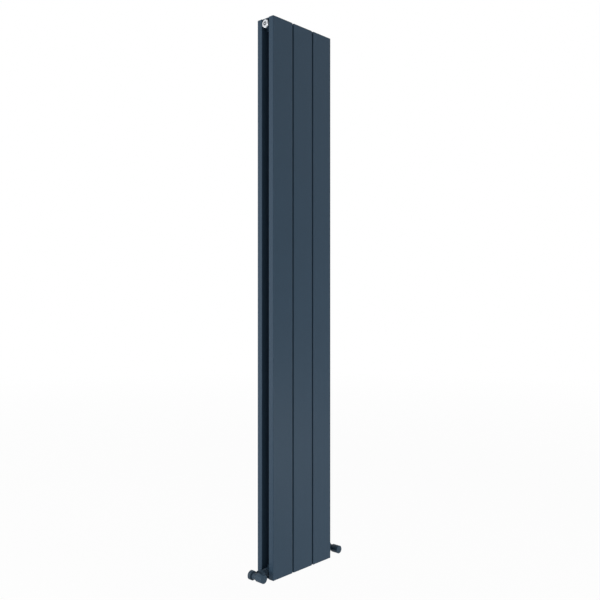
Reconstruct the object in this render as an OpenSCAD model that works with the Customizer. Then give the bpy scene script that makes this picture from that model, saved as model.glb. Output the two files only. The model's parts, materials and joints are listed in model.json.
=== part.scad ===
// Vertical double flat-panel radiator with its two angled valves, hung on wall brackets.
// Millimetres. The origin is the centre of the wall fixings on the wall's face:
// +X is to the right seen from the room, +Y goes into the wall, +Z is up.

/* [Radiator] */
// Overall height
rad_h = 1800; // [900:10:2200]
// Width of one flat panel
panel_w = 90.5; // [84:0.5:110]
// Gap between neighbouring panels
panel_gap = 5; // [3:0.5:10]
// Depth of one panel
panel_d = 20.5; // [17:0.5:26]
// Wall of the panel extrusion
panel_wall = 1.8; // [1.4:0.1:2.4]
// Radius of a panel's long edges
panel_edge_r = 2; // [2:0.5:6]
// Inner width of a panel's waterway
waterway_w = 34; // [26:1:40]
// Thickness of the two webs beside the waterway
web_t = 2; // [1.5:0.5:3]
// Thickness of the stiffening ribs in the dry cells
rib_t = 1.5; // [1:0.5:2.5]
// Thickness of a panel's end caps
cap_t = 2.5; // [1.5:0.5:3.5]

/* [Headers] */
// Depth of a header, which is the space between the two rows of panels
row_gap = 31; // [30:0.5:40]
// Height of a header
header_h = 35; // [34:1:44]
// Wall of the header tube
header_wall = 3; // [2:0.5:3]
// Radius of the waterway ports between header and panels
port_r = 6; // [4:0.5:7]
// Thickness of the plate that closes a header's end
end_t = 6; // [4:0.5:8]
// Length of the threaded boss on a header's end
boss_l = 20; // [14:1:22]
// Distance from the radiator's side to the boss's face
port_inset = 4; // [1:0.5:8]
// Distance from the radiator's side to the end of a header's outer wall
cover_inset = 2.5; // [1:0.5:6]

/* [Wall fixing] */
// Gap between the wall and the rear panels
wall_gap = 30; // [28:1:60]
// Distance of the hangers from the radiator's middle line
hanger_x = 63; // [60:1:80]
// Distance of the hangers from the radiator's ends
hanger_inset = 120; // [100:5:300]
// Sheet thickness of the brackets
bracket_t = 3; // [2:0.5:4]
// Width of the brackets
bracket_w = 30; // [28:1:40]
// Height of the leg that is screwed to the wall
wall_leg_h = 110; // [100:2:150]
// Diameter of the wall screw holes
screw_hole_d = 7; // [5:0.5:9]

/* [Valves] */
// Distance from the radiator's side to a valve's axis
valve_reach = 43; // [42:1:60]
// Diameter of the valve body's barrel
valve_body_d = 20.5; // [20:0.5:22]
// Diameter of the handle and of the lockshield cap
handle_d = 26.5; // [25:0.5:30]
// Distance from the tail's axis to the handle's front face
handle_front = 39.5; // [37:0.5:50]
// Distance from the tail's axis to the handle's open end
handle_skirt = 11; // [9.5:0.5:12]
// Diameter across the turned corners of the inlet nut
inlet_nut_d = 30.5; // [28:0.5:34]
// Length of the inlet nut
inlet_nut_l = 12.5; // [11:0.5:16]
// Outside diameter of the supply pipe
pipe_d = 15; // [12:1:16]
// Width of the union nut across its flats
union_nut_af = 28; // [26:1:32]
// Lift of the valve disc from closed to open
valve_lift = 3; // [2:0.5:3]

/* [Plugs] */
// Width of the chrome plugs' hexagon heads across the flats
plug_af = 23.5; // [21:0.5:24]
// Thickness of the chrome plugs' heads, with their flange
plug_t = 4.5; // [4:0.5:7]

/* [Hidden] */
$fn = 96;
cut = 0.5;

// Clearances
fit = 0.1;
running = 0.05;
free = 0.6;
rest_gap = 0.3;

// Colours
paint = [0.24, 0.31, 0.37];
chrome = [0.86, 0.87, 0.89];
brass = [0.78, 0.62, 0.32];
steel = [0.62, 0.64, 0.66];
rubber = [0.08, 0.08, 0.09];
nylon = [0.86, 0.86, 0.84];

// Overall layout
cols = [-1, 0, 1];
levels = [-1, 1];
sides = [-1, 1];
pitch = panel_w + panel_gap;
half_w = pitch + panel_w / 2;
half_h = rad_h / 2;
mid_y = -wall_gap - panel_d - row_gap / 2;
row_y = (row_gap + panel_d) / 2;
axis_z = half_h - header_h / 2;

// Panel extrusion: a central waterway and two dry cells on each side of it
extrusion_h = rad_h - 2 * cap_t;
cell_d = panel_d - 2 * panel_wall;
dry_w = panel_w / 2 - panel_wall - waterway_w / 2 - web_t;
cell_w = (dry_w - rib_t) / 2;
cell_r = min(max(panel_edge_r - panel_wall, 0.6), cell_w / 3);
cap_spigot = 4;

// Header tube, its pulled collars and its ends
header_edge_r = 2;
port_x = half_w - port_inset;
tube_half = port_x - boss_l;
cover_half = half_w - cover_inset;
tube_in_d = row_gap - 2 * header_wall;
tube_in_h = header_h - 2 * header_wall;
tube_in_r = 1.5;
collar_r = port_r + 2;
collar_reach = row_gap / 2 + panel_wall + 1.2;
plate_proud = 0.5;
boss_r = 12.8;
baffle_t = 2;

// Half-inch parallel pipe thread, as a plain cylinder
thread_r = 10.4;
thread_l = 12;
seal_t = 1.2;
seal_in_r = thread_r + 3 * fit;
seal_out_r = 12.2;

// Plugs in the top header
plug_corner_r = plug_af / 2 / cos(30);
plug_flange_r = 12.4;
plug_flange = seal_t + 1.2;
plug_face = seal_t + plug_t;
plug_chamfer = 0.8;
vent_recess_r = 6.5;
vent_recess = 2.6;
vent_floor = plug_face - vent_recess;
bleed_r = 2.5;
bleed_key = 5;
bleed_seat = 6;
bleed_seat_r = 1.2;
spout_r = 0.9;
spout_offset = 4.9;
key_socket_af = 10;
key_socket = 4;

// Valve body, along its own axis, with the room at negative y
body_r = valve_body_d / 2;
skirt_overlap = 2;
body_front = handle_skirt + skirt_overlap;
body_chamfer = 0.6;
outlet_r = 11;
outlet_neck_r = 8.4;
outlet_start = inlet_nut_d / 2 + free;
outlet_l = 5.8;
outlet_end = outlet_start + outlet_l;
outlet_bore_r = 5.5;
chamber_r = 8.2;
orifice_r = 4.5;
seat_y = outlet_bore_r + 0.5;
pipe_stop = seat_y + 2.5;
pipe_bore_r = pipe_d / 2 + fit;
spigot_step = 0.4;
spigot_r = body_r - spigot_step;

// Inlet nut and olive
nut_front = pipe_stop + 1;
nut_back = nut_front + inlet_nut_l;
nut_wall = 3;
nut_chamfer = 1;
inlet_nut_af = inlet_nut_d - 1;
olive_r = pipe_d / 2 + 1.2;
olive_back = nut_back - nut_wall - fit;
olive_l = 4.8;
olive_front = olive_back - olive_l;
olive_edge = 0.6;
spigot_end = olive_front + 3;

// Tail and union nut
flange_r = outlet_r - fit;
flange_t = 3;
tail_r = 8.5;
tail_bore_r = 6.5;
tail_collar_r = 12.4;
tail_collar_t = 4;
tail_reach = valve_reach + port_inset;
tail_collar = tail_reach - seal_t - tail_collar_t;
union_start = outlet_start + 0.8;
union_lip = outlet_end + flange_t + fit;
union_end = union_lip + 3.5;
union_corner_r = union_nut_af / 2 / cos(30);

// Bonnet
bonnet_flange_r = 9.8;
bonnet_flange_t = 3;
bonnet_flange = body_front + bonnet_flange_t;
bonnet_neck_r = 6.2;
bonnet_neck = bonnet_flange + 6;
bonnet_in = 1;
stem_r = 3;
stem_seal_r = 3.85;
stem_seal_section = 0.78;
stem_groove_r = stem_seal_r + stem_seal_section + running;
stem_groove = bonnet_flange + 1.2;

// Valve disc carrier, closed, sliding in the bonnet's hexagon socket
washer_t = 1.6;
washer_r = 6.2;
washer_back = seat_y - rest_gap;
carrier_r = 6.6;
carrier_t = 1.5;
carrier_back = washer_back - washer_t;
carrier_front = carrier_back - carrier_t;
carrier_l = 7;
carrier_af = 9;
carrier_end = carrier_front - carrier_l;
socket_af = carrier_af + 2 * fit;
stem_collar_t = 1.4;
stem_collar_r = 4.2;
socket_end = valve_lift - carrier_end + free + stem_collar_t + fit;
screw_end = valve_lift - carrier_front + 1.6 + rest_gap;
screw_bore_end = carrier_front - 1.6;

// Handle, its screw and the lockshield cap
handle_r = handle_d / 2;
handle_chamfer = 0.8;
skirt_r = body_r + free;
handle_well = bonnet_flange + free;
neck_well = bonnet_neck + rest_gap;
stem_square = 4.2;
cover_r = 8;
cover_t = 1.2;
screw_floor = handle_front - 3.5;
screw_head_r = 3;
screw_head_t = 2;
screw_r = 1.45;
screw_l = 8;
square_end = screw_floor - 2.3;
lock_square_end = bonnet_neck + 6;
cap_floor = 3;
cap_grip = bonnet_flange + rest_gap;

// Wall brackets and hangers
hanger_z = half_h - hanger_inset;
hook_h = 44;
bend_r = bracket_t + 1.5;
stud_r = 4;
stud_flange_r = 10;
stud_flange_t = 2.5;
stud_head_r = 7;
stud_head_t = 2.5;
sleeve_r = 6;
sleeve_rim_r = 8.5;
sleeve_rim_t = 2;
hook_y = -wall_gap + stud_flange_t + sleeve_rim_t + fit;
sleeve_end = hook_y + bracket_t + fit + sleeve_rim_t;
channel_d = -hook_y;
channel_w = bracket_w + bend_r;
screw_offset = wall_leg_h / 2 - 13;

// Rounded rectangle about the origin
module rounded_rect(w, h, r) {
    square([w - 2 * r, h], center = true);
    square([w, h - 2 * r], center = true);
    for (sx = sides, sy = sides)
        translate([sx * (w / 2 - r), sy * (h / 2 - r)]) circle(r);
}

// Round bars along X and Y
module rod_x(r, x0, x1) {
    translate([x0, 0, 0]) rotate([0, 90, 0]) cylinder(r = r, h = x1 - x0);
}

module rod_y(r, y0, y1) {
    translate([0, y0, 0]) rotate([-90, 0, 0]) cylinder(r = r, h = y1 - y0);
}

// Hexagon bars along X and Y with corners up and down, given across the flats
module hex_x(af, x0, x1) {
    translate([x0, 0, 0]) rotate([0, 90, 0]) cylinder(d = af / cos(30), h = x1 - x0, $fn = 6);
}

module hex_y(af, y0, y1) {
    translate([0, y0, 0]) rotate([-90, 90, 0]) cylinder(d = af / cos(30), h = y1 - y0, $fn = 6);
}

// Square bar along Y
module square_y(s, y0, y1) {
    translate([-s / 2, y0, -s / 2]) cube([s, y1 - y0, s]);
}

// Turned pieces from outlines of [radius, place along the axis]
module turned_x(outline) {
    rotate([0, 90, 0]) rotate_extrude() polygon(outline);
}

module turned_y(outline) {
    rotate([-90, 0, 0]) rotate_extrude() polygon(outline);
}

// Flat profile drawn in Y and Z, drawn out along X
module bar_x(x0, x1) {
    translate([x0, 0, 0]) rotate([90, 0, 90]) linear_extrude(x1 - x0) children();
}

// A panel's own frame, with its header side at +y
module at_panel(col, row) {
    translate([col * pitch, mid_y + row * row_y, 0])
        mirror([0, row > 0 ? 1 : 0, 0]) children();
}

// A header port's own frame on its boss's face, with +x into the header
module at_port(side, level) {
    translate([side * port_x, mid_y, level * axis_z])
        mirror([side > 0 ? 1 : 0, 0, 0]) children();
}

// A valve's own frame, with +x along its tail and -y towards the room
module at_valve(side) {
    at_port(side, -1) translate([-tail_reach, 0, 0]) children();
}

// A hanger's own frame on the wall's face, with +x towards the radiator's middle
module at_hanger(side, level) {
    translate([side * hanger_x, 0, level * hanger_z])
        mirror([side > 0 ? 1 : 0, 0, 0]) children();
}

module panel_section() {
    difference() {
        rounded_rect(panel_w, panel_d, panel_edge_r);
        rounded_rect(waterway_w, cell_d, cell_r);
        for (s = sides, place = [0.5 * cell_w, 1.5 * cell_w + rib_t])
            translate([s * (waterway_w / 2 + web_t + place), 0])
                rounded_rect(cell_w, cell_d, cell_r);
    }
}

module panel(col, row) {
    color(paint)
    at_panel(col, row)
    difference() {
        translate([0, 0, -extrusion_h / 2]) linear_extrude(extrusion_h) panel_section();
        for (level = levels)
            translate([0, panel_d / 2, level * axis_z])
                rod_y(collar_r + fit, -panel_wall - cut, cut);
    }
}

module panel_cap() {
    linear_extrude(cap_t) rounded_rect(panel_w, panel_d, panel_edge_r);
    translate([0, 0, -cap_spigot])
        linear_extrude(cap_spigot + cap_t / 2)
            rounded_rect(waterway_w - 2 * fit, cell_d - 2 * fit, cell_r);
}

module panel_caps(col, row) {
    color(paint)
    at_panel(col, row)
    for (level = levels)
        mirror([0, 0, level < 0 ? 1 : 0])
            translate([0, 0, extrusion_h / 2]) panel_cap();
}

// A header's outer wall, which runs on over the bosses and closes the space between the panels
module header_cover(level) {
    bar_x(-cover_half, cover_half)
    intersection() {
        rounded_rect(row_gap, header_h, header_edge_r);
        translate([0, level * (header_h - header_wall) / 2])
            square([row_gap, header_wall], center = true);
    }
}

module header(level) {
    color(paint)
    translate([0, mid_y, level * axis_z])
    difference() {
        union() {
            bar_x(-tube_half, tube_half) rounded_rect(row_gap, header_h, header_edge_r);
            header_cover(level);
            for (col = cols)
                translate([col * pitch, 0, 0]) rod_y(collar_r, -collar_reach, collar_reach);
        }
        bar_x(-tube_half - cut, tube_half + cut) rounded_rect(tube_in_d, tube_in_h, tube_in_r);
        for (col = cols)
            translate([col * pitch, 0, 0]) rod_y(port_r, -collar_reach - cut, collar_reach + cut);
    }
}

// Plate set in the header tube, with the threaded boss for a plug or a valve's tail
module header_end(side, level) {
    color(paint)
    at_port(side, level)
    difference() {
        union() {
            rod_x(boss_r, 0, boss_l);
            bar_x(boss_l - plate_proud, boss_l + end_t)
                rounded_rect(tube_in_d - 2 * fit, tube_in_h - 2 * fit, tube_in_r);
        }
        rod_x(thread_r + fit, -cut, boss_l + end_t + cut);
    }
}

// Plate in the bottom header that sends the flow up the left panels
module flow_baffle() {
    color(steel)
    translate([-pitch / 2, mid_y, -axis_z])
    bar_x(-baffle_t / 2, baffle_t / 2)
        rounded_rect(tube_in_d - 2 * fit, tube_in_h - 2 * fit, tube_in_r);
}

module port_seal(side, level) {
    color(rubber)
    at_port(side, level)
    turned_x([
        [seal_in_r, -seal_t], [seal_out_r, -seal_t], [seal_out_r, 0], [seal_in_r, 0]
    ]);
}

// Chamfered hexagon head, round flange and threaded shank, its outer face at -plug_face
module plug_blank() {
    intersection() {
        hex_x(plug_af, -plug_face, -seal_t);
        turned_x([
            [0, -plug_face], [plug_af / 2, -plug_face], [plug_corner_r, plug_chamfer - plug_face],
            [plug_corner_r, -seal_t], [0, -seal_t]
        ]);
    }
    turned_x([
        [0, -plug_flange], [plug_flange_r, -plug_flange], [plug_flange_r, -seal_t],
        [thread_r, -seal_t], [thread_r, thread_l], [0, thread_l]
    ]);
}

module vent_plug() {
    color(chrome)
    at_port(-1, 1)
    difference() {
        plug_blank();
        rod_x(vent_recess_r, -plug_face - cut, -vent_floor);
        rod_x(bleed_r + running, -plug_face, bleed_seat + rest_gap);
        rod_x(bleed_seat_r, 0, thread_l + cut);
        translate([0, 0, -spout_offset]) rod_x(spout_r, -plug_face, 0);
    }
}

module bleed_screw() {
    color(chrome)
    at_port(-1, 1) {
        turned_x([
            [0, -vent_floor - rest_gap], [bleed_r, -vent_floor - rest_gap],
            [bleed_r, bleed_seat - bleed_r], [0, bleed_seat]
        ]);
        intersection() {
            translate([-plug_face, -bleed_key / 2, -bleed_key / 2])
                cube([vent_recess - rest_gap, bleed_key, bleed_key]);
            rod_x(bleed_key * 0.65, -plug_face, 0);
        }
    }
}

module blank_plug() {
    color(chrome)
    at_port(1, 1)
    difference() {
        plug_blank();
        hex_x(key_socket_af, -plug_face - cut, key_socket - plug_face);
    }
}

module tail(side) {
    color(paint)
    at_valve(side)
    turned_x([
        [tail_bore_r, outlet_end], [flange_r, outlet_end],
        [flange_r, outlet_end + flange_t], [tail_r, outlet_end + flange_t],
        [tail_r, tail_collar], [tail_collar_r, tail_collar],
        [tail_collar_r, tail_collar + tail_collar_t], [thread_r, tail_collar + tail_collar_t],
        [thread_r, tail_reach + thread_l], [tail_bore_r, tail_reach + thread_l]
    ]);
}

module union_nut(side) {
    color(paint)
    at_valve(side)
    difference() {
        intersection() {
            hex_x(union_nut_af, union_start, union_end);
            turned_x([
                [0, union_start], [union_nut_af / 2, union_start],
                [union_corner_r, union_start + nut_chamfer],
                [union_corner_r, union_end - nut_chamfer],
                [union_nut_af / 2, union_end], [0, union_end]
            ]);
        }
        rod_x(outlet_r + fit, union_start - cut, union_lip);
        rod_x(tail_r + fit, union_start, union_end + cut);
    }
}

module valve_body(side) {
    color(paint)
    at_valve(side)
    difference() {
        union() {
            turned_y([
                [0, -body_front], [body_r - body_chamfer, -body_front],
                [body_r, body_chamfer - body_front],
                [body_r, nut_front - fit], [spigot_r, nut_front - fit],
                [spigot_r, spigot_end], [0, spigot_end]
            ]);
            rod_x(outlet_neck_r, 0, outlet_end);
            rod_x(outlet_r, outlet_start, outlet_end);
        }
        rod_y(chamber_r, -body_front - cut, seat_y);
        rod_y(orifice_r, 0, pipe_stop + cut);
        rod_y(pipe_bore_r, pipe_stop, spigot_end + cut);
        rod_y(olive_r + fit, olive_front - fit, spigot_end + cut);
        rod_x(outlet_bore_r, 0, outlet_end + cut);
    }
}

module inlet_nut(side) {
    color(paint)
    at_valve(side)
    difference() {
        intersection() {
            hex_y(inlet_nut_af, nut_front, nut_back);
            turned_y([
                [0, nut_front], [inlet_nut_d / 2 - nut_chamfer, nut_front],
                [inlet_nut_d / 2, nut_front + nut_chamfer],
                [inlet_nut_d / 2, nut_back - nut_chamfer],
                [inlet_nut_d / 2 - nut_chamfer, nut_back], [0, nut_back]
            ]);
        }
        rod_y(spigot_r + fit, nut_front - cut, spigot_end + fit);
        rod_y(olive_r + fit, nut_front, olive_back + fit);
        rod_y(pipe_bore_r, nut_front, nut_back + cut);
    }
}

module olive(side) {
    color(brass)
    at_valve(side)
    turned_y([
        [pipe_bore_r, olive_front], [olive_r - olive_edge, olive_front],
        [olive_r, olive_front + 2 * olive_edge], [olive_r, olive_back - 2 * olive_edge],
        [olive_r - olive_edge, olive_back], [pipe_bore_r, olive_back]
    ]);
}

module bonnet(side) {
    color(brass)
    at_valve(side)
    difference() {
        turned_y([
            [0, -bonnet_neck], [bonnet_neck_r, -bonnet_neck],
            [bonnet_neck_r, -bonnet_flange], [bonnet_flange_r, -bonnet_flange],
            [bonnet_flange_r, -body_front], [chamber_r - fit, -body_front],
            [chamber_r - fit, -bonnet_in], [0, -bonnet_in]
        ]);
        hex_y(socket_af, -socket_end, cut - bonnet_in);
        rod_y(stem_r + running, -bonnet_neck - cut, 0);
        rod_y(stem_groove_r, -stem_groove - 2 * stem_seal_section - fit, -stem_groove);
    }
}

module stem_seal(side) {
    color(rubber)
    at_valve(side)
    translate([0, -stem_groove - stem_seal_section - fit / 2, 0])
    rotate([-90, 0, 0])
    rotate_extrude() translate([stem_seal_r, 0]) circle(stem_seal_section);
}

// Stem with its lead screw as a plain cylinder, a stop collar and a square end
module stem(side, end) {
    color(brass)
    at_valve(side)
    difference() {
        union() {
            rod_y(stem_r, -bonnet_neck, -screw_end);
            rod_y(stem_collar_r, fit - socket_end, fit + stem_collar_t - socket_end);
            square_y(stem_square, -end, -bonnet_neck + cut);
        }
        if (side < 0)
            rod_y(screw_r + running, -end - cut, screw_l - screw_floor + cut);
    }
}

module disc_carrier(side) {
    color(brass)
    at_valve(side)
    difference() {
        union() {
            hex_y(carrier_af, carrier_end, carrier_front + cut);
            rod_y(carrier_r, carrier_front, carrier_back);
        }
        rod_y(stem_r + fit, carrier_end - cut, screw_bore_end);
    }
}

module valve_washer(side) {
    color(rubber)
    at_valve(side)
    rod_y(washer_r, carrier_back, washer_back);
}

// Outside of the handle and of the lockshield cap
module handle_blank() {
    turned_y([
        [0, -handle_front], [handle_r - handle_chamfer, -handle_front],
        [handle_r, handle_chamfer - handle_front], [handle_r, -handle_skirt], [0, -handle_skirt]
    ]);
}

module handle(side) {
    color(paint)
    at_valve(side)
    difference() {
        handle_blank();
        rod_y(skirt_r, -handle_well, cut - handle_skirt);
        rod_y(bonnet_neck_r + free, -neck_well, -handle_skirt);
        square_y(stem_square + 2 * fit, -square_end - rest_gap, -bonnet_neck);
        rod_y(screw_r + fit, -handle_front, -bonnet_neck);
        rod_y(screw_head_r + fit, -handle_front, -screw_floor);
        rod_y(cover_r + fit, -handle_front - cut, cover_t - handle_front);
    }
}

module handle_screw(side) {
    color(steel)
    at_valve(side)
    turned_y([
        [0, -screw_floor - screw_head_t], [screw_head_r, -screw_floor - screw_head_t],
        [screw_head_r, -screw_floor], [screw_r, -screw_floor],
        [screw_r, screw_l - screw_floor], [0, screw_l - screw_floor]
    ]);
}

module handle_cover(side) {
    color(paint)
    at_valve(side)
    rod_y(cover_r, -handle_front, cover_t - handle_front);
}

module lockshield_cap(side) {
    color(paint)
    at_valve(side)
    difference() {
        handle_blank();
        rod_y(skirt_r, -body_front - fit, cut - handle_skirt);
        rod_y(bonnet_flange_r + running, -cap_grip, -handle_skirt);
        rod_y(bonnet_neck_r + 2 * free, cap_floor - handle_front, -handle_skirt);
    }
}

// Pressed channel: a tall leg on the wall and a short leg with the hook's slot
module bracket(side, level) {
    color(steel)
    at_hanger(side, level)
    difference() {
        translate([0, -channel_d / 2, -wall_leg_h / 2])
        linear_extrude(wall_leg_h)
        difference() {
            translate([bend_r / 2, 0]) rounded_rect(channel_w, channel_d, bend_r);
            translate([bend_r / 2, 0])
                rounded_rect(channel_w - 2 * bracket_t, channel_d - 2 * bracket_t, bend_r - bracket_t);
            translate([bracket_w / 2, -channel_d]) square([bend_r + cut, 2 * channel_d]);
        }
        for (end = levels)
            translate([-bracket_w, hook_y - cut, end > 0 ? hook_h / 2 : -wall_leg_h / 2 - cut])
                cube([2 * bracket_w, channel_d - bracket_t + cut, (wall_leg_h - hook_h) / 2 + cut]);
        rod_y(sleeve_r + fit, hook_y - cut, hook_y + bracket_t + cut);
        translate([-sleeve_r - fit, hook_y - cut, 0])
            cube([2 * (sleeve_r + fit), bracket_t + 2 * cut, hook_h]);
        for (end = levels)
            translate([0, 0, end * screw_offset]) rod_y(screw_hole_d / 2, -bracket_t - cut, cut);
    }
}

module hanger_studs() {
    color(steel)
    for (side = sides, level = levels)
        at_hanger(side, level)
        turned_y([
            [0, -wall_gap], [stud_flange_r, -wall_gap],
            [stud_flange_r, stud_flange_t - wall_gap], [stud_r, stud_flange_t - wall_gap],
            [stud_r, sleeve_end], [stud_head_r, sleeve_end],
            [stud_head_r, sleeve_end + stud_head_t], [0, sleeve_end + stud_head_t]
        ]);
}

module hanger_sleeves() {
    color(nylon)
    for (side = sides, level = levels)
        at_hanger(side, level)
        turned_y([
            [stud_r + fit, stud_flange_t - wall_gap], [sleeve_rim_r, stud_flange_t - wall_gap],
            [sleeve_rim_r, hook_y - fit], [sleeve_r, hook_y - fit],
            [sleeve_r, hook_y + bracket_t + fit], [sleeve_rim_r, hook_y + bracket_t + fit],
            [sleeve_rim_r, sleeve_end], [stud_r + fit, sleeve_end]
        ]);
}

panel(-1, -1);  // front_panel_left
panel(0, -1);  // front_panel_centre
panel(1, -1);  // front_panel_right
panel(-1, 1);  // rear_panel_left
panel(0, 1);  // rear_panel_centre
panel(1, 1);  // rear_panel_right
panel_caps(-1, -1);  // front_panel_left_caps
panel_caps(0, -1);  // front_panel_centre_caps
panel_caps(1, -1);  // front_panel_right_caps
panel_caps(-1, 1);  // rear_panel_left_caps
panel_caps(0, 1);  // rear_panel_centre_caps
panel_caps(1, 1);  // rear_panel_right_caps
header(1);  // top_header
header(-1);  // bottom_header
flow_baffle();
header_end(-1, 1);  // top_left_header_end
header_end(1, 1);  // top_right_header_end
header_end(-1, -1);  // bottom_left_header_end
header_end(1, -1);  // bottom_right_header_end
vent_plug();
port_seal(-1, 1);  // vent_plug_seal
bleed_screw();
blank_plug();
port_seal(1, 1);  // blank_plug_seal
tail(-1);  // left_tail
port_seal(-1, -1);  // left_tail_seal
union_nut(-1);  // left_union_nut
valve_body(-1);  // left_valve_body
inlet_nut(-1);  // left_inlet_nut
olive(-1);  // left_olive
bonnet(-1);  // left_bonnet
stem_seal(-1);  // left_stem_seal
stem(-1, square_end);  // left_stem
disc_carrier(-1);  // left_disc_carrier
valve_washer(-1);  // left_valve_washer
handle(-1);  // left_handle
handle_screw(-1);  // left_handle_screw
handle_cover(-1);  // left_handle_cover
tail(1);  // right_tail
port_seal(1, -1);  // right_tail_seal
union_nut(1);  // right_union_nut
valve_body(1);  // right_valve_body
inlet_nut(1);  // right_inlet_nut
olive(1);  // right_olive
bonnet(1);  // right_bonnet
stem_seal(1);  // right_stem_seal
stem(1, lock_square_end);  // right_stem
disc_carrier(1);  // right_disc_carrier
valve_washer(1);  // right_valve_washer
lockshield_cap(1);  // right_lockshield_cap
bracket(-1, 1);  // upper_left_bracket
bracket(1, 1);  // upper_right_bracket
bracket(-1, -1);  // lower_left_bracket
bracket(1, -1);  // lower_right_bracket
hanger_studs();
hanger_sleeves();
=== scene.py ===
"""Looks of a tall flat-panel radiator with two angled valves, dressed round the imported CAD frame."""
import json
import math

import bpy
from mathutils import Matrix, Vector

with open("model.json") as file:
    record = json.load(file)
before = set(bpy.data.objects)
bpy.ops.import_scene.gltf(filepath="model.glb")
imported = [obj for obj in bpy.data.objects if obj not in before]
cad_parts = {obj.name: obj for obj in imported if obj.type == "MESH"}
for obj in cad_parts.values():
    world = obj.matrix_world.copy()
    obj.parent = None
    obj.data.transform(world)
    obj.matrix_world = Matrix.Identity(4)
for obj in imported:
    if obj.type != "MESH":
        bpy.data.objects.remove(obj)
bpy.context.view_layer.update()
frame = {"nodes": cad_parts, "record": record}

# Places on the part in metres: the middle of its depth, the top header's height and the chrome plugs' faces
MID_Y = -0.066
AXIS_Z = 0.8825
PLUG_FACE_X = 0.14245

# The plugs' key sockets: where their painted shade starts and is full, by distance from the axis and by
# depth
SOCKET_RIM = 0.0067
SOCKET_INSIDE = 0.0063
SOCKET_LIP = 0.0002
SOCKET_DEEP = 0.0008

# Broken edges: the round's width, and the angle from which an edge counts as sharp
EDGE_WIDTH = 0.0004
EDGE_ANGLE = math.radians(25)
WELD_REACH = 1e-6

# The studio: the surround's light on the part, and a floor that is seen as nearly white, as white far out
AMBIENT = 0.545
FLOOR_Z = -1.05
FLOOR_HALF = 20.0
FADE_NEAR = 2.5
FADE_FAR = 8.0
NEAR_GLOW = 0.94
WHITE = (1, 1, 1, 1)

# Each softbox: its place, the point it faces, its width and height in metres and its watts
SOFTBOXES = {
    "left_softbox": ((-2.6, 2.2, 0.0), (0, -0.05, 0), 4.0, 3.8, 61),
    "side_softbox": ((-3.2, 0.0, 0.0), (0, -0.1, 0), 2.0, 5.0, 39),
    "low_left_softbox": ((-2.2, 0.8, -0.72), (0, -0.05, -0.72), 0.8, 0.5, 9),
    "room_softbox": ((0.6, -2.6, 1.3), (0, -0.1, 1.0), 1.6, 0.6, 7.5),
    "low_room_softbox": ((0.6, -2.0, -0.85), (0, -0.1, -0.8), 1.6, 0.4, 16),
}

# The level camera fitted to the photograph's perspective
CAMERA_PLACE = (-1.7448, -1.7019, -0.0062)
CAMERA_LEVEL = math.radians(90)
CAMERA_YAW = math.radians(-47.23)
LENS_MM = 42.72
SENSOR_MM = 36.0


class Wire:
    """A socket in a node tree, so that shader maths reads as plain expressions."""

    def __init__(self, nodes, socket):
        self.nodes = nodes
        self.socket = socket

    def maths(self, operation, a, b):
        return self.nodes.node("Math", {"operation": operation}, {0: a, 1: b})

    def __add__(self, other):
        return self.maths("ADD", self, other)

    def __radd__(self, other):
        return self.maths("ADD", other, self)

    def __sub__(self, other):
        return self.maths("SUBTRACT", self, other)

    def __rsub__(self, other):
        return self.maths("SUBTRACT", other, self)

    def __mul__(self, other):
        return self.maths("MULTIPLY", self, other)

    def __rmul__(self, other):
        return self.maths("MULTIPLY", other, self)

    def __pow__(self, other):
        return self.maths("POWER", self, other)

    def __rpow__(self, other):
        return self.maths("POWER", other, self)


class Nodes:
    """A node tree, the one method that adds nodes to it, and short names for the nodes used most."""

    # The colour sockets of a Mix node share their names, so they go by number
    MIX_FACTOR = 0
    MIX_FIRST = 6
    MIX_SECOND = 7
    MIX_COLOUR = 2

    def __init__(self, owner):
        owner.use_nodes = True
        self.tree = owner.node_tree
        self.tree.nodes.clear()

    def node(self, kind, settings=None, sockets=None, output=0):
        """Make a node of any kind, link or set its inputs and hand back one of its outputs."""
        made = self.tree.nodes.new("ShaderNode" + kind)
        for key, value in (settings or {}).items():
            setattr(made, key, value)
        for key, value in (sockets or {}).items():
            if isinstance(value, Wire):
                self.tree.links.new(value.socket, made.inputs[key])
            else:
                made.inputs[key].default_value = value
        return Wire(self, made.outputs[output]) if made.outputs else None

    def place(self):
        return self.node("TexCoord", output="Object")

    def along(self, place, axis):
        return self.node("SeparateXYZ", {}, {"Vector": place}, axis)

    def noise(self, place, scale, detail=2.0):
        return self.node("TexNoise", {}, {"Vector": place, "Scale": scale, "Detail": detail})

    def blend(self, factor, first, second):
        sockets = {self.MIX_FACTOR: factor, self.MIX_FIRST: first, self.MIX_SECOND: second}
        return self.node("Mix", {"data_type": "RGBA"}, sockets, self.MIX_COLOUR)

    def ramp(self, value, start, end):
        return self.node("MapRange", {}, {"Value": value, "From Min": start, "From Max": end})

    def bump(self, height, strength, distance):
        return self.node("Bump", {}, {"Height": height, "Strength": strength, "Distance": distance})


def finished(n, shader):
    """Lead a shader to the material's surface."""
    n.node("OutputMaterial", {}, {"Surface": shader})


def coat(n, tone, roughness, normal, shine):
    """Paint, plastic or rubber."""
    finished(n, n.node("BsdfPrincipled", {}, {
        "Base Color": tone, "Roughness": roughness, "Normal": normal, "Specular IOR Level": shine,
    }))


def metal(n, tone, roughness, normal):
    """Bare or plated metal."""
    finished(n, n.node("BsdfPrincipled", {}, {
        "Base Color": tone, "Roughness": roughness, "Normal": normal, "Metallic": 1.0,
    }))


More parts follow.
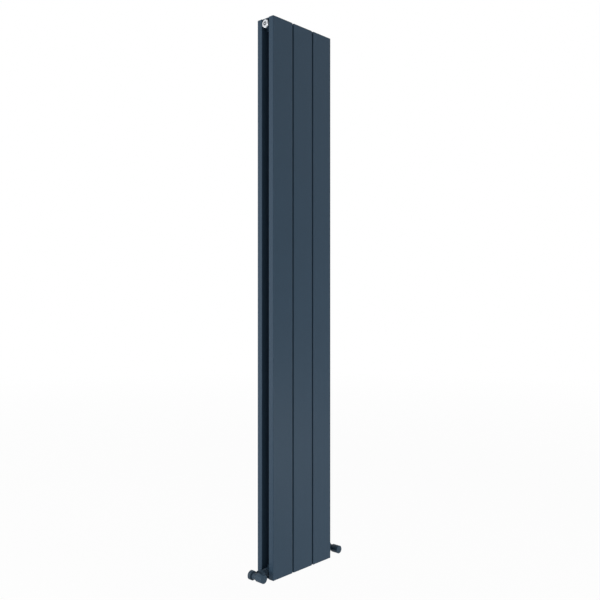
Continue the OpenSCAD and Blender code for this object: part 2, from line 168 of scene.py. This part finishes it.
def powder_coat(name, deep, pale, sheen):
    """Satin powder coat: slow drift of tone, fine speckle and a soft orange peel."""
    material = bpy.data.materials.new(name)
    n = Nodes(material)
    place = n.place()
    drift = n.noise(place, scale=6.0)
    speckle = n.noise(place, scale=1400.0, detail=3.0)
    peel = n.noise(place, scale=330.0)
    tone = n.blend(drift * 0.2 + speckle * 0.8, deep, pale)
    roughness = sheen + (drift - 0.5) * 0.08 + (speckle - 0.5) * 0.2
    normal = n.bump(peel * 0.7 + speckle * 0.3, strength=0.6, distance=0.0004)
    coat(n, tone, roughness, normal, shine=0.12)
    return material


def chrome_plate():
    """Bright plating with a little haze. The plugs' key sockets get painted shade, near black, and a rougher
    finish.
    """
    material = bpy.data.materials.new("chrome_plate")
    n = Nodes(material)
    place = n.place()
    haze = n.noise(place, scale=90.0, detail=3.0)
    fine = n.noise(place, scale=1800.0)
    across = n.along(place, "Y") - MID_Y
    up = n.along(place, "Z") - AXIS_Z
    from_axis = (across * across + up * up) ** 0.5
    from_middle = n.node("Math", {"operation": "ABSOLUTE"}, {0: n.along(place, "X")})
    sunk = PLUG_FACE_X - from_middle
    # socket: mask for the painted shade inside the plugs' key sockets, found by distance from the plug axis
    # and depth below the face
    socket = n.ramp(from_axis, SOCKET_RIM, SOCKET_INSIDE) * n.ramp(sunk, SOCKET_LIP, SOCKET_DEEP)
    bright = n.blend(haze, (0.62, 0.65, 0.69, 1), (0.73, 0.755, 0.785, 1))
    # painted shade: the chrome's tone blended towards near black inside the key sockets
    tone = n.blend(socket * 0.9, bright, (0.030, 0.031, 0.034, 1))
    roughness = 0.07 + haze * 0.06 + socket * 0.3
    metal(n, tone, roughness, n.bump(fine, strength=0.03, distance=0.0001))
    return material


def turned_brass():
    """Bare brass with the rings a lathe leaves across the valves' axes."""
    material = bpy.data.materials.new("turned_brass")
    n = Nodes(material)
    place = n.place()
    haze = n.noise(place, scale=120.0, detail=3.0)
    squeezed = n.node("VectorMath", {"operation": "MULTIPLY"}, {0: place, 1: (40.0, 5200.0, 40.0)}, "Vector")
    rings = n.noise(squeezed, scale=1.0, detail=3.0)
    tone = n.blend(haze * 0.6 + rings * 0.4, (0.50, 0.33, 0.13, 1), (0.68, 0.48, 0.21, 1))
    roughness = 0.20 + rings * 0.16 + haze * 0.05
    metal(n, tone, roughness, n.bump(rings, strength=0.15, distance=0.0001))
    return material


def zinc_plate():
    """Pressed steel with a dull zinc coat: small crystal patches and a fine grain."""
    material = bpy.data.materials.new("zinc_plated_steel")
    n = Nodes(material)
    place = n.place()
    cells = n.node("TexVoronoi", {}, {"Vector": place, "Scale": 230.0}, "Color")
    patches = n.node("SeparateColor", {}, {"Color": cells}, "Red")
    haze = n.noise(place, scale=40.0, detail=3.0)
    fine = n.noise(place, scale=2000.0)
    tone = n.blend(patches * 0.6 + haze * 0.4, (0.25, 0.27, 0.29, 1), (0.38, 0.40, 0.42, 1))
    roughness = 0.34 + patches * 0.10 + fine * 0.12
    metal(n, tone, roughness, n.bump(patches + fine, strength=0.06, distance=0.0001))
    return material


def moulded(name, deep, pale, sheen, texture):
    """Rubber or plastic: uneven tone and a fine moulded skin."""
    material = bpy.data.materials.new(name)
    n = Nodes(material)
    place = n.place()
    cloud = n.noise(place, scale=160.0, detail=3.0)
    skin = n.noise(place, scale=2600.0)
    tone = n.blend(cloud, deep, pale)
    roughness = sheen + (skin - 0.5) * 0.12
    normal = n.bump(skin, strength=texture, distance=0.0001)
    coat(n, tone, roughness, normal, shine=0.15)
    return material


def dress(piece, finish):
    """Give a piece its finish in place of the CAD frame's plain one."""
    piece.data.materials.clear()
    piece.data.materials.append(finish)


def soft_edges(piece):
    """Break the sharp edges by a small round, as tumbling, drawing or paint leaves them."""
    weld = piece.modifiers.new("joined_corners", "WELD")
    weld.merge_threshold = WELD_REACH
    bevel = piece.modifiers.new("soft_edges", "BEVEL")
    bevel.width = EDGE_WIDTH
    bevel.segments = 3
    bevel.limit_method = "ANGLE"
    bevel.angle_limit = EDGE_ANGLE
    bevel.miter_outer = "MITER_ARC"
    bevel.harden_normals = True
    bevel.use_clamp_overlap = True


def pale_rays(n):
    """1 for rays that see the white background: the camera's, mirrored and passing ones."""
    camera = n.node("LightPath", output="Is Camera Ray")
    mirrored = n.node("LightPath", output="Is Glossy Ray")
    passing = n.node("LightPath", output="Is Transmission Ray")
    return n.node("Math", {"operation": "ADD", "use_clamp": True}, {0: camera + mirrored, 1: passing})


def white_surround():
    """A world that is seen as white and lights the part more softly than that."""
    world = bpy.data.worlds.new("studio")
    bpy.context.scene.world = world
    n = Nodes(world)
    strength = AMBIENT + pale_rays(n) * (1.0 - AMBIENT)
    surround = n.node("Background", {}, {"Color": WHITE, "Strength": strength})
    n.node("OutputWorld", {}, {"Surface": surround})


def floor_finish():
    """Pale and matt where it catches the part's shadow, and white to the eye further out."""
    material = bpy.data.materials.new("pale_floor")
    n = Nodes(material)
    place = n.place()
    cloud = n.noise(place, scale=3.0, detail=3.0)
    tone = n.blend(cloud, (0.86, 0.86, 0.86, 1), (0.90, 0.90, 0.90, 1))
    matt = n.node("BsdfDiffuse", {}, {"Color": tone})
    glow = n.node("Emission", {}, {"Color": WHITE, "Strength": 1.0})
    distance = n.node("VectorMath", {"operation": "LENGTH"}, {0: place}, "Value")
    far = n.ramp(distance, FADE_NEAR, FADE_FAR)
    share = pale_rays(n) * (NEAR_GLOW + far * (1.0 - NEAR_GLOW))
    finished(n, n.node("MixShader", {}, {0: share, 1: matt, 2: glow}))
    return material


def pale_floor():
    """A wide floor a little below the part."""
    corners = [
        (-FLOOR_HALF, -FLOOR_HALF, FLOOR_Z),
        (FLOOR_HALF, -FLOOR_HALF, FLOOR_Z),
        (FLOOR_HALF, FLOOR_HALF, FLOOR_Z),
        (-FLOOR_HALF, FLOOR_HALF, FLOOR_Z),
    ]
    mesh = bpy.data.meshes.new("floor")
    mesh.from_pydata(corners, [], [(0, 1, 2, 3)])
    mesh.materials.append(floor_finish())
    floor = bpy.data.objects.new("floor", mesh)
    bpy.context.scene.collection.objects.link(floor)


def soft_lamp(name, place, target, width, height, watts):
    """A softbox at a place, turned to face its target."""
    lamp = bpy.data.lights.new(name, "AREA")
    lamp.shape = "RECTANGLE"
    lamp.size = width
    lamp.size_y = height
    lamp.energy = watts
    stand = bpy.data.objects.new(name, lamp)
    stand.location = place
    stand.rotation_euler = (Vector(target) - Vector(place)).to_track_quat("-Z", "Y").to_euler()
    bpy.context.scene.collection.objects.link(stand)


def photo_camera():
    """The camera at the photograph's angle."""
    lens = bpy.data.cameras.new("photo_camera")
    lens.sensor_width = SENSOR_MM
    lens.lens = LENS_MM
    camera = bpy.data.objects.new("photo_camera", lens)
    camera.location = CAMERA_PLACE
    camera.rotation_euler = (CAMERA_LEVEL, 0, CAMERA_YAW)
    bpy.context.scene.collection.objects.link(camera)
    bpy.context.scene.camera = camera


# The finish of each of the record's material slots
finishes = {
    "paint": powder_coat(
        "slate_powder_coat", (0.0220, 0.0420, 0.0655, 1), (0.0330, 0.0630, 0.0985, 1), sheen=0.42),
    "valve_paint": powder_coat(
        "slate_valve_coat", (0.0240, 0.0395, 0.0570, 1), (0.0360, 0.0595, 0.0860, 1), sheen=0.40),
    "handle_plastic": moulded(
        "slate_handle", (0.0225, 0.0450, 0.0700, 1), (0.0260, 0.0508, 0.0785, 1), sheen=0.42, texture=0.08),
    "chrome_plate": chrome_plate(),
    "brass": turned_brass(),
    "zinc_steel": zinc_plate(),
    "seal_rubber": moulded(
        "black_rubber", (0.010, 0.010, 0.011, 1), (0.018, 0.018, 0.019, 1), sheen=0.62, texture=0.3),
    "nylon": moulded(
        "natural_nylon", (0.62, 0.61, 0.57, 1), (0.70, 0.69, 0.65, 1), sheen=0.45, texture=0.12),
}
slot_of = {piece["node"]: piece["material_slot"] for piece in frame["record"]["subparts"]}
for name, piece in frame["nodes"].items():
    dress(piece, finishes[slot_of[name]])
    soft_edges(piece)

bpy.context.scene.view_settings.view_transform = "Standard"
white_surround()
pale_floor()
for name, settings in SOFTBOXES.items():
    soft_lamp(name, *settings)
photo_camera()
